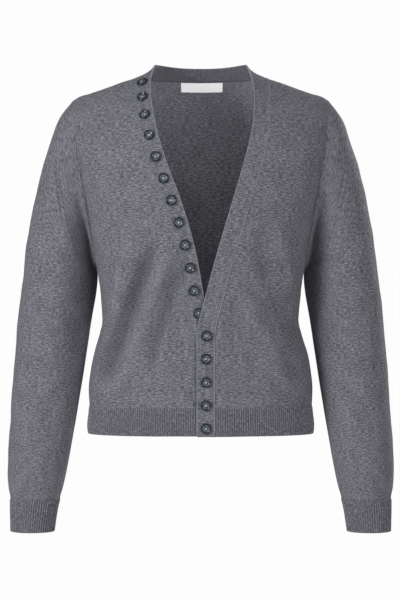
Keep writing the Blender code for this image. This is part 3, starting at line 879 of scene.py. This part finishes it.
def flat_size(spots):
    """Width, length and area of the cloth that a grid of spots covers."""
    widths = np.ptp(spots[..., 0], axis=1)
    width, length = float(widths.max()), float(np.ptp(spots[..., 1]))
    return width, length, float(widths.mean()) * length


def lay_cloth(name, node, slot, materials, rests_on, points, normals, spots, wall, flat=None, **shape):
    """A walled sheet that stands for a CAD node; its flat size is worked out from its spots or flat."""
    mesh = wall_mesh(name, points, normals, wall, spots, **shape)
    piece = place(name, mesh, materials[slot], slot, node)
    width, length, area = flat_size(spots if flat is None else flat)
    area = min(area, width * length)


# Materials


class Nodes:
    """Short calls that build a material's node tree."""

    def __init__(self, name):
        self.material = bpy.data.materials.new(name)
        self.material.use_nodes = True
        self.tree = self.material.node_tree
        self.shader = self.tree.nodes["Principled BSDF"]

    def add(self, kind, **settings):
        node = self.tree.nodes.new(kind)
        for key, value in settings.items():
            setattr(node, key, value)
        return node

    def feed(self, node, socket, value):
        if isinstance(value, bpy.types.NodeSocket):
            self.tree.links.new(value, node.inputs[socket])
        elif value is not None:
            node.inputs[socket].default_value = value

    def cloth(self):
        """The spot on the flat cloth, and its two parts: across and down."""
        spot = self.add("ShaderNodeUVMap", uv_map="Knit").outputs[0]
        parts = self.add("ShaderNodeSeparateXYZ")
        self.feed(parts, 0, spot)
        return spot, parts.outputs[0], parts.outputs[1]

    def math(self, operation, a, b=None):
        node = self.add("ShaderNodeMath", operation=operation)
        self.feed(node, 0, a)
        self.feed(node, 1, b)
        return node.outputs[0]

    def weighted(self, *terms):
        """The sum of values, each times its weight."""
        total = None
        for value, weight in terms:
            share = self.math("MULTIPLY", value, weight)
            total = share if total is None else self.math("ADD", total, share)
        return total

    def noise(self, vector, scale, detail=2.0, roughness=0.5):
        node = self.add("ShaderNodeTexNoise")
        self.feed(node, "Vector", vector)
        self.feed(node, "Scale", scale)
        self.feed(node, "Detail", detail)
        self.feed(node, "Roughness", roughness)
        return node.outputs["Fac"]

    def grain(self, cloth, length, height, detail=2.0, roughness=0.5):
        """Noise whose grains have this length across the cloth and this height down it."""
        node = self.add("ShaderNodeMapping")
        self.feed(node, "Vector", cloth)
        self.feed(node, "Scale", (1 / length, 1 / height, 1))
        return self.noise(node.outputs[0], 1.0, detail, roughness)

    def span(self, value, low, high, to_low=0.0, to_high=1.0):
        node = self.add("ShaderNodeMapRange", interpolation_type="SMOOTHSTEP")
        for socket, number in zip((0, 1, 2, 3, 4), (value, low, high, to_low, to_high)):
            self.feed(node, socket, number)
        return node.outputs[0]

    def blend(self, factor, first, second):
        node = self.add("ShaderNodeMix", data_type="RGBA")
        self.feed(node, 0, factor)
        for socket, colour in ((6, first), (7, second)):
            self.feed(node, socket, (*colour, 1) if isinstance(colour, tuple) else colour)
        return node.outputs[2]

    def finish(self, **sockets):
        """Sets sockets of the shader by name, and gives the material."""
        for name, value in sockets.items():
            self.feed(self.shader, name.replace("_", " "), value)
        return self.material

    def bump(self, height, distance, strength):
        node = self.add("ShaderNodeBump")
        self.feed(node, "Height", height)
        self.feed(node, "Distance", distance)
        self.feed(node, "Strength", strength)
        self.feed(self.shader, "Normal", node.outputs[0])


def knit(name, stitch, course, streaks=JERSEY_STREAK, ribs=0.0, shade=TROUGH_PAINTED_SHADE):
    """Melange wool knit: V stitches in relief, mottle in short streaks, lint flecks, painted shade and
    highlight.
    """
    nodes = Nodes(name)
    cloth, across, down = nodes.cloth()
    wale = nodes.math("FRACT", nodes.math("DIVIDE", across, stitch))
    leg = nodes.math("ABSOLUTE", nodes.math("SUBTRACT", wale, 0.5))
    skew = nodes.math("ADD", nodes.math("DIVIDE", down, course), leg)
    loop = nodes.math("PINGPONG", skew, 0.5)
    valley = nodes.math("PINGPONG", nodes.math("SUBTRACT", leg, 0.25), 0.25)
    fuzz = nodes.grain(cloth, *FUZZ_SIZE)
    height = nodes.weighted((loop, LOOP_RISE), (valley, VALLEY_RISE), (fuzz, FUZZ_RISE))
    nodes.bump(height, STITCH_DEPTH, 0.9)

    streak = nodes.grain(cloth, streaks.length, streaks.height, 1.0, 0.6)
    grain = nodes.grain(cloth, streaks.grain, GRAIN_HEIGHT, 1.0, 0.6)
    cloud = nodes.noise(cloth, 1 / CLOUD_SIZE)
    mottle = nodes.weighted((streak, STREAK_SHARE), (grain, GRAIN_SHARE), (cloud, CLOUD_SHARE))
    mottle = nodes.math("POWER", nodes.span(mottle, streaks.low, streaks.high), 1.5)
    colour = nodes.blend(mottle, YARN_DARK, YARN_LIGHT)
    # Painted shade in the rib valleys and painted highlight on the rib crests.
    if ribs:
        crest = nodes.math("COSINE", nodes.math("MULTIPLY", across, 2 * np.pi / ribs))
        colour = nodes.blend(nodes.span(crest, -1.0, 0.6, VALLEY_SHADE, 0.0), colour, YARN_DARK)
        colour = nodes.blend(nodes.span(crest, 0.0, 1.0, 0.0, CREST_LIGHT), colour, YARN_LIGHT)
    fleck = nodes.span(nodes.grain(cloth, *FLECK_SIZE, 0.0), 0.80, 0.86)
    colour = nodes.blend(fleck, colour, YARN_FLECK)
    # Painted shade in crease troughs and on the inside, painted highlight on crease ridges.
    painted_shade_and_light = nodes.add("ShaderNodeAttribute", attribute_name="PaintedShadeAndLight").outputs["Fac"]
    colour = nodes.blend(nodes.span(painted_shade_and_light, 0.0, -1.0, 0.0, shade), colour, PAINTED_SHADE_YARN)
    colour = nodes.blend(nodes.span(painted_shade_and_light, 0.0, 1.0, 0.0, RIDGE_PAINTED_LIGHT), colour, YARN_LIGHT)
    return nodes.finish(
        Base_Color=colour,
        Roughness=nodes.span(mottle, 0, 1, 0.95, 0.82),
        Specular_IOR_Level=0.22,
        Sheen_Weight=0.12,
        Sheen_Roughness=0.55,
        Sheen_Tint=(0.80, 0.80, 0.88, 1),
    )


def twisted_yarn(name, dark, light, roughness, sheen):
    """Twisted yarn of the linked edges and seams."""
    nodes = Nodes(name)
    fuzz = nodes.grain(nodes.cloth()[0], *TWIST_SIZE)
    nodes.bump(fuzz, 0.0002, 0.6)
    colour = nodes.blend(nodes.span(fuzz, 0.3, 0.7), dark, light)
    return nodes.finish(Base_Color=colour, Roughness=roughness, Sheen_Weight=sheen)


def button_glaze():
    """Dark navy polyester with a pearly slate dish and a bright pin in its middle."""
    nodes = Nodes("button_glaze")
    radius = nodes.cloth()[2]
    dish = nodes.span(radius, DISH_RADIUS - 0.0005, DISH_RADIUS + 0.0005, 1.0, 0.0)
    cloud = nodes.noise(nodes.add("ShaderNodeTexCoord").outputs["Object"], 300.0)
    pearl = nodes.math("MULTIPLY", dish, nodes.span(cloud, 0.35, 0.65, 0.35, 1.0))
    colour = nodes.blend(pearl, BUTTON_DARK, BUTTON_PEARL)
    pin = nodes.span(radius, PIN_RADIUS - 0.0002, PIN_RADIUS + 0.0002, 1.0, 0.0)
    nodes.bump(cloud, 0.00004, 0.6)
    return nodes.finish(
        Base_Color=nodes.blend(pin, colour, BUTTON_PIN),
        Roughness=nodes.span(cloud, 0.2, 0.8, 0.26, 0.36),
        Specular_IOR_Level=0.45,
        Coat_Weight=0.25,
        Coat_Roughness=0.12,
    )


def label_tape():
    """Blank satin-woven tape with a fine twill."""
    nodes = Nodes("label_tape")
    cloth, across, down = nodes.cloth()
    twill = nodes.math("ADD", across, down)
    thread = nodes.math("PINGPONG", nodes.math("DIVIDE", twill, TWILL_PITCH), 0.5)
    wear = nodes.grain(cloth, *WEAR_SIZE)
    nodes.bump(thread, 0.0001, 0.5)
    return nodes.finish(
        Base_Color=nodes.blend(nodes.weighted((thread, 0.3), (wear, 0.5)), LABEL_SHADE, LABEL_WHITE),
        Roughness=nodes.span(wear, 0.2, 0.8, 0.55, 0.68),
        Sheen_Weight=0.1,
    )


# Pieces


def rib_lift(columns, distance, ring=False):
    """Relief of the ribs at each column, fading in with the distance from the rib's first row."""
    phase = 2 * np.pi * np.arange(columns if ring else columns + 1) / RIB_COLUMNS
    return RIB_RELIEF * (0.5 + 0.5 * np.cos(phase)) ** RIB_SHARP * ease(distance / RIB_FADE)[:, None]


def rib_count(length):
    return RIB_COLUMNS * int(round(length / RIB_PITCH))


def make_front(side, materials):
    turn = to_side(side)
    points = front_points(side, PANEL_DROPS, 2, FRONT_COLUMNS)[:, 2:]
    normals = grid_normals(points)
    spots = cloth_spots(points)
    spots[..., 0] += points[..., :1, 0]
    lift, start, end, down = panel_waves(points, spots, 11 if side == "left" else 23)
    lift = lift + seam_dip(end) * below_shoulder(points) + seam_dip(down) * SHALLOW
    lift = lift + lap_groove(side, start, points)
    points = points + normals * lift[..., None]
    relief = fold_lift(side, points[..., 0], points[..., 2])
    name, under = f"knit_front_{side}", [f"band_{side}", "back"]
    shell = (turn(points), turn(grid_normals(points)), spots, CLOTH)
    lay_cloth(name, f"front_{side}", "jersey", materials, under, *shell, relief=relief)


def from_seam(grid):
    """A band's grid with its rows along the band, from the seam to the free edge."""
    return grid.swapaxes(0, 1)[::-1]


def make_band(side, materials):
    turn = to_side(side)
    points = front_points(side, ALL_DROPS, BAND_COLUMNS, 2)[:, : BAND_COLUMNS + 1]
    normals = grid_normals(points)
    over = arc_lengths(points, 1)
    seam = over[:, -1:] - over
    lift = WELT * hump(seam - WELT_IN, WELT_WIDTH) * (side == "left")
    lift = lift + seam_dip(seam * 2) + SWELL * hump(over, SWELL_WIDTH)
    lift = lift + BAND_WAVE * wave_lift(points[..., 0], points[..., 2], 31) * ease(over / 0.01)
    lift = lift + lap_groove(side, seam, points)
    lift = lift * ease(arc_lengths(points, 0) / SHOULDER_FADE)
    points = points + normals * lift[..., None]
    spots = cloth_spots(points)
    relief = from_seam(fold_lift(side, points[..., 0], points[..., 2]))
    shell = [from_seam(part) for part in (turn(points), turn(grid_normals(points)), spots)]
    name, under = f"knit_band_{side}", [f"front_{side}"]
    shape = {"flat": spots, "rolled": True, "relief": relief}
    lay_cloth(name, f"band_{side}", "band", materials, under, *shell, BAND, **shape)
    normals = grid_normals(points)
    # The edge cord's lighter yarn is partly real linking yarn, partly painted highlight on the lit
    # rolled edge.
    edge = points[:, 0] + normals[:, 0] * BAND / 3
    make_cord(f"edge_cord_{side}", edge, normals[:, 0], turn, materials["cord"])
    if side == "left":
        seam = points[:, -2] + normals[:, -2] * BAND / 2
        make_cord("seam_cord_left", seam, normals[:, -2], turn, materials["cord"])
    return points


def make_cord(name, path, normals, turn, material):
    """A twisted linking yarn laid along a seam or a free edge."""
    length = arc_lengths(path[:, None], 0)[:, 0]
    at = np.arange(0, length[-1], CORD_STEP)
    line = at_lengths(at, length, path)
    upward = unit(at_lengths(at, length, normals))
    along = unit(np.gradient(line, axis=0))
    sideways = unit(np.cross(along, upward))
    upward = np.cross(sideways, along)
    thin = ease(np.minimum(at, length[-1] - at) / CORD_TAPER) * (1 - CORD_TIP) + CORD_TIP
    radius = CORD_RADIUS * thin * (1 + CORD_TWIST * np.cos(2 * np.pi * at / CORD_PITCH))
    radius = radius[:, None, None]
    angle = angles_round(CORD_SIDES)
    spokes = np.cos(angle)[:, None] * sideways[:, None] + np.sin(angle)[:, None] * upward[:, None]
    rings = line[:, None] + radius * spokes
    spots = np.stack([np.tile(angle * CORD_RADIUS, len(at)), np.repeat(at, CORD_SIDES)], axis=-1)
    place(name, ring_mesh(name, turn(rings), spots), material, "band")


def even_columns(points):
    """The same rows with their columns spaced evenly along the cloth."""
    over = arc_lengths(points, 1)
    share = np.linspace(0, 1, points.shape[1])
    return np.array([at_lengths(share * length[-1], length, row) for row, length in zip(points, over)])


def make_hem(name, points, turn, materials, neighbour):
    points = even_columns(points)
    normals = grid_normals(points)
    distance = arc_lengths(points, 0).mean(axis=1)
    spots = cloth_spots(points)
    spots[..., 0] = np.arange(points.shape[1]) * RIB_PITCH / RIB_COLUMNS
    points = points + normals * rib_lift(points.shape[1] - 1, distance)[..., None]
    shape = {"flat": cloth_spots(points[:, ::RIB_COLUMNS]), "rolled": True}
    shell = (turn(points), turn(normals), spots, RIB)
    lay_cloth(f"rib_{name}", name, "rib", materials, [neighbour], *shell, **shape)


def make_back(materials):
    points = back_points(PANEL_DROPS, NECK_COLUMNS, FRONT_COLUMNS)
    normals = grid_normals(points)
    centre = points.shape[1] // 2
    spots = cloth_spots(points, centre)
    lift, start, end, down = panel_waves(points, spots, 47)
    lift = lift + (seam_dip(start) + seam_dip(end)) * below_shoulder(points)
    lift = lift + seam_dip(down) * SHALLOW
    shaped = points + normals * lift[..., None]
    relief = fold_lift("back", points[..., 0], points[..., 2])
    shell = (shaped, grid_normals(shaped), spots, CLOTH)
    under = ["front_left", "front_right"]
    lay_cloth("knit_back", "back", "jersey", materials, under, *shell, relief=relief)
    return points, normals


def make_neck_band(back, band_top, materials):
    seam = back[0, FRONT_COLUMNS : FRONT_COLUMNS + NECK_COLUMNS + 1]
    points = neck_points(seam, band_top)
    normals = grid_normals(points)
    over = arc_lengths(points, 1)
    to_seam = over[:, -1:] - over
    lift = seam_dip(to_seam) * SHALLOW + SWELL * hump(over, SWELL_WIDTH)
    lift = lift * fade_ends(arc_lengths(points, 0), SHOULDER_FADE)
    points = points + normals * lift[..., None]
    spots = cloth_spots(points)
    shell = [from_seam(part) for part in (points, grid_normals(points), spots)]
    # The neck band's inside gets deeper painted shade.
    shape = {"flat": spots, "rolled": True, "inside_shade": NECK_INSIDE_PAINTED_SHADE}
    lay_cloth("knit_neck_band", "neck_band", "band", materials, ["back"], *shell, BAND, **shape)
    # A real linking seam; its dark colour is painted shadow under the neck band.
    inward = -grid_normals(points)[:, -2]
    cord = points[:, -2] + inward * BAND / 2
    make_cord("neck_seam_cord_painted_shadow", cord[2:-2], inward[2:-2], np.array, materials["seam"])


def make_sleeve(side, loop, loop_normals, materials):
    turn = to_side(side)
    rings = np.arange(0, CUFF_RING + RING_STEP / 2, RING_STEP)
    points = sleeve_points(loop, loop_normals, rings)
    points[..., 1] += tuck(rings, len(loop))
    normals = grid_normals(points, ring=True)
    girth = np.linalg.norm(np.diff(points[len(rings) // 2], axis=0), axis=1).sum()
    down = arc_lengths(points, 0)
    u = np.arange(len(loop)) / len(loop) * girth + 0 * down
    creases = crease_lift(side, rings, len(loop), girth)
    waves = wave_lift(u, down, 53 if side == "left" else 61)
    lift = creases + waves * np.sin(np.pi * u / girth) ** 0.5
    lift = lift * ease(down / 0.03) * ease((down[-1:] - down) / 0.02)
    dip = seam_dip(down) * below_shoulder(points)
    points = points + normals * lift[..., None] + loop_normals * dip[..., None]
    spots = cloth_spots(points, ring=True)
    # Painted shade where the sleeve's front falls back beside the body and in crease troughs.
    relief = CREASE_PAINTED_SHADE * creases - TUCK_PAINTED_SHADE * tuck(rings, len(loop))
    name, under = f"knit_sleeve_{side}", [f"front_{side}", "back"]
    shell = (turn(points), turn(grid_normals(points, ring=True)), spots, CLOTH)
    lay_cloth(name, f"sleeve_{side}", "jersey", materials, under, *shell, ring=True, relief=relief)


def make_cuff(side, materials):
    turn = to_side(side)
    rings = np.linspace(CUFF_RING, LAST_RING, RIB_ROWS)
    rough = ring_ellipse(12, np.linspace(0, 2 * np.pi, 200))
    count = rib_count(np.linalg.norm(np.diff(rough, axis=0), axis=1).sum())
    angle = angles_round(count)
    points = np.array([ring_ellipse(ring, angle) for ring in rings])
    normals = grid_normals(points, ring=True)
    distance = arc_lengths(points, 0).mean(axis=1)
    flat = cloth_spots(points, ring=True)
    spots = flat.copy()
    spots[..., 0] = np.arange(count + 1) * RIB_PITCH / RIB_COLUMNS
    points = points + normals * rib_lift(count, distance, ring=True)[..., None]
    shape = {"flat": flat, "ring": True, "rolled": True}
    name, under = f"rib_cuff_{side}", [f"sleeve_{side}"]
    shell = (turn(points), turn(normals), spots, RIB)
    lay_cloth(name, f"cuff_{side}", "rib", materials, under, *shell, **shape)


def make_label(materials):
    """A blank woven tab on the inside of the back, just under the neck seam."""
    x = LABEL_X + np.linspace(-LABEL_WIDTH / 2, LABEL_WIDTH / 2, LABEL_COLUMNS + 1)
    drops = np.linspace(*LABEL_DROPS, LABEL_ROWS + 1)
    points = np.array([below_neck(x, drop) for drop in drops])
    normals = grid_normals(points)
    across, down = np.linspace(0, 1, LABEL_COLUMNS + 1), np.linspace(0.3, 1, LABEL_ROWS + 1)
    puff = LABEL_PUFF * np.sin(np.pi * across) ** 0.3 * down[:, None]
    off = CLOTH / 2 + 2 * SEAM + LABEL_WALL / 2 + puff
    points = points - normals * off[..., None]
    spots = cloth_spots(points)
    shell = (points, normals, spots, LABEL_WALL)
    lay_cloth("blank_label", "label", "label", materials, ["back"], *shell)


def button_mesh(name, seat, facing):
    """A turned button: a raised rim round a dished face with a small boss, its back on the seat."""
    sideways = unit(np.cross(facing, (0, 0, 1)))
    upward = np.cross(sideways, facing)
    angle = angles_round(BUTTON_SIDES)
    around = np.cos(angle)[:, None] * sideways + np.sin(angle)[:, None] * upward
    rings = [seat + turn.radius * around + turn.height * facing for turn in BUTTON_PROFILE]
    rings = np.array(rings)
    radii = np.repeat([turn.radius for turn in BUTTON_PROFILE], BUTTON_SIDES)
    return ring_mesh(name, rings, np.stack([np.tile(angle, len(rings)), radii], axis=-1))


def make_buttons(frame, materials):
    """Each button lies on its CAD node's own plane."""
    for number in range(1, BUTTON_COUNT + 1):
        node = f"button_{number:02d}"
        vertices = frame["nodes"][node].data.vertices
        solid = np.array([vertex.co for vertex in vertices])
        centre = (solid.max(axis=0) + solid.min(axis=0)) / 2
        facing = np.linalg.svd(solid - solid.mean(axis=0))[2][2]
        facing = facing if facing[1] < 0 else -facing
        depth = (solid - centre) @ facing
        seat = centre + facing * depth.min()
        name = f"turned_{node}"
        place(name, button_mesh(name, seat, facing), materials["button"], "button", node)


# Studio


def area_light(name, where, target, size, power):
    lamp = bpy.data.lights.new(name, "AREA")
    lamp.shape, lamp.size, lamp.energy = "DISK", size, power
    holder = bpy.data.objects.new(name, lamp)
    holder.location = where
    aim = Vector(target) - Vector(where)
    holder.rotation_euler = aim.to_track_quat("-Z", "Y").to_euler()
    holder.visible_camera = False
    bpy.context.scene.collection.objects.link(holder)


def make_studio():
    scene = bpy.context.scene
    scene.view_settings.view_transform = "Standard"
    world = bpy.data.worlds.new("pale_studio")
    scene.world = world
    world.use_nodes = True
    tree = world.node_tree
    mix = tree.nodes.new("ShaderNodeMixShader")
    seen = tree.nodes.new("ShaderNodeLightPath").outputs["Is Camera Ray"]
    tree.links.new(seen, mix.inputs[0])
    for socket, strength in ((1, AMBIENT), (2, BACKDROP)):
        sky = tree.nodes.new("ShaderNodeBackground")
        sky.inputs["Color"].default_value = (1, 1, 1, 1)
        sky.inputs["Strength"].default_value = strength
        tree.links.new(sky.outputs[0], mix.inputs[socket])
    tree.links.new(mix.outputs[0], tree.nodes["World Output"].inputs["Surface"])

    floor_mesh = bpy.data.meshes.new("floor")
    angle = angles_round(FLOOR_SIDES)
    ring = np.stack([np.cos(angle), np.sin(angle), 0 * angle], axis=-1) * FLOOR_RADIUS
    floor_mesh.from_pydata((ring + (0, 0, FLOOR_Z)).tolist(), [], [list(range(FLOOR_SIDES))])
    pale = Nodes("pale_floor").finish(Base_Color=(0.9, 0.9, 0.9, 1), Roughness=0.9)
    floor_mesh.materials.append(pale)
    floor = bpy.data.objects.new("floor", floor_mesh)
    scene.collection.objects.link(floor)

    chest = (0, 0, -0.3)
    area_light("key", (-2.32, -2.18, 0.25), chest, 1.3, 69)
    area_light("front", (1.7, -2.7, 0.1), chest, 1.6, 32)
    area_light("top", (-0.2, -1.0, 2.4), chest, 1.4, 16)
    area_light("behind", (1.8, 2.3, 0.7), chest, 1.2, 58)
    area_light("inside", (0.0, -0.055, -0.080), (0.0, 0.2, -0.06), 0.11, 0.135)

    camera = bpy.data.cameras.new("camera")
    camera.sensor_width = 36
    camera.lens = camera.sensor_width * CAMERA_DISTANCE / FRAME_HEIGHT
    holder = bpy.data.objects.new("camera", camera)
    holder.location = (CAMERA_X, -CAMERA_DISTANCE, CAMERA_Z)
    holder.rotation_euler = (np.pi / 2, 0, 0)
    scene.collection.objects.link(holder)
    scene.camera = holder


def make_materials():
    return {
        "jersey": knit("jersey", STITCH, COURSE),
        "rib": knit("rib", RIB_PITCH / 2, COURSE, RIB_STREAK, RIB_PITCH),
        # The band's painted shade is deeper, to darken the neck band's inside.
        "band": knit("band", BAND_STITCH, BAND_COURSE, shade=BAND_TROUGH_PAINTED_SHADE),
        # The lighter linking yarn is partly painted highlight on the lit band edges.
        "cord": twisted_yarn("linking_yarn_painted_highlight", LINK_YARN_AND_HIGHLIGHT, YARN_LIGHT, 0.9, 0.2),
        # The neck seam yarn is real; its dark colour is painted shadow.
        "seam": twisted_yarn("seam_yarn_painted_shadow", PAINTED_SHADE_YARN, YARN_DARK, 0.95, 0.0),
        "button": button_glaze(),
        "label": label_tape(),
    }


def armhole_loop(side, back, back_normals):
    """The armhole's points and normals, as on the wearer's left: up the front and down the back."""
    rise, fall = slice(ARMPIT_ROW, 0, -1), slice(0, ARMPIT_ROW)
    front = front_points(side, PANEL_DROPS, 2, FRONT_COLUMNS)
    flanks = []
    for flank, own in ((back, front), (back_normals, grid_normals(front))):
        end = mirrored(flank)[:, 0] if side == "right" else flank[:, -1]
        flanks.append(np.concatenate([own[rise, -1], end[fall]]))
    return flanks


def main():
    for old in list(bpy.data.objects):
        bpy.data.objects.remove(old, do_unlink=True)
    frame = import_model()
    materials = make_materials()
    for side in ("left", "right"):
        make_front(side, materials)
    bands = {side: make_band(side, materials) for side in ("left", "right")}
    back, back_normals = make_back(materials)
    make_neck_band(back, bands["left"][0], materials)
    for side in ("left", "right"):
        make_sleeve(side, *armhole_loop(side, back, back_normals), materials)
        make_cuff(side, materials)
        hem = front_points(side, HEM_DROPS, 2, TRIAL_COLUMNS)[:, 2:]
        hem = front_points(side, HEM_DROPS, 2, rib_count(arc_lengths(hem, 1)[0, -1]))[:, 2:]
        make_hem(f"hem_{side}", hem, to_side(side), materials, f"front_{side}")
    columns = rib_count(arc_lengths(back_points(HEM_DROPS, 100, 60), 1)[0, -1])
    hem = back_points(HEM_DROPS, columns - 2 * (columns // 4), columns // 4)
    make_hem("hem_back", hem, np.array, materials, "back")
    make_label(materials)
    make_buttons(frame, materials)
    make_studio()


main()
